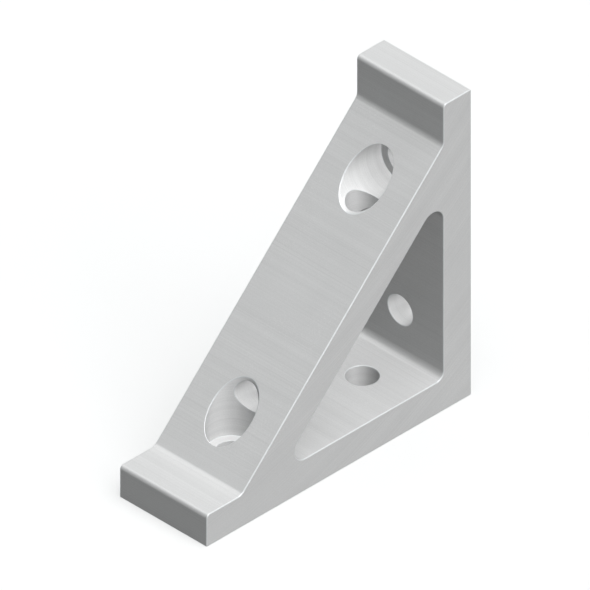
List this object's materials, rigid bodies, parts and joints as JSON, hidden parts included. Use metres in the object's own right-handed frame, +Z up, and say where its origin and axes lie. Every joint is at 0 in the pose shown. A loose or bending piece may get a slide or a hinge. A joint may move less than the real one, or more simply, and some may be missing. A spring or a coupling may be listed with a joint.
{
  "type": "t slot corner bracket",
  "caption": "Open-gusset inside corner bracket for T slot framing, with bolt holes along both legs and access bores through its diagonal web.",
  "frame": {"origin": "on the edge of the outer corner, where the foot's and the back's outer faces meet, at the middle of the width", "axes": "+X along the foot, away from the corner; +Z up the back, away from the corner; Y across the width; the bracket stands on its foot"},
  "size_m": [0.0772, 0.0254, 0.0772],
  "materials": {
    "anodised_aluminium": "clear satin anodised extrusion with sawn sides and drilled holes"
  },
  "bodies": {
    "root": {"bracket": "anodised_aluminium"}
  },
  "joints": []
}
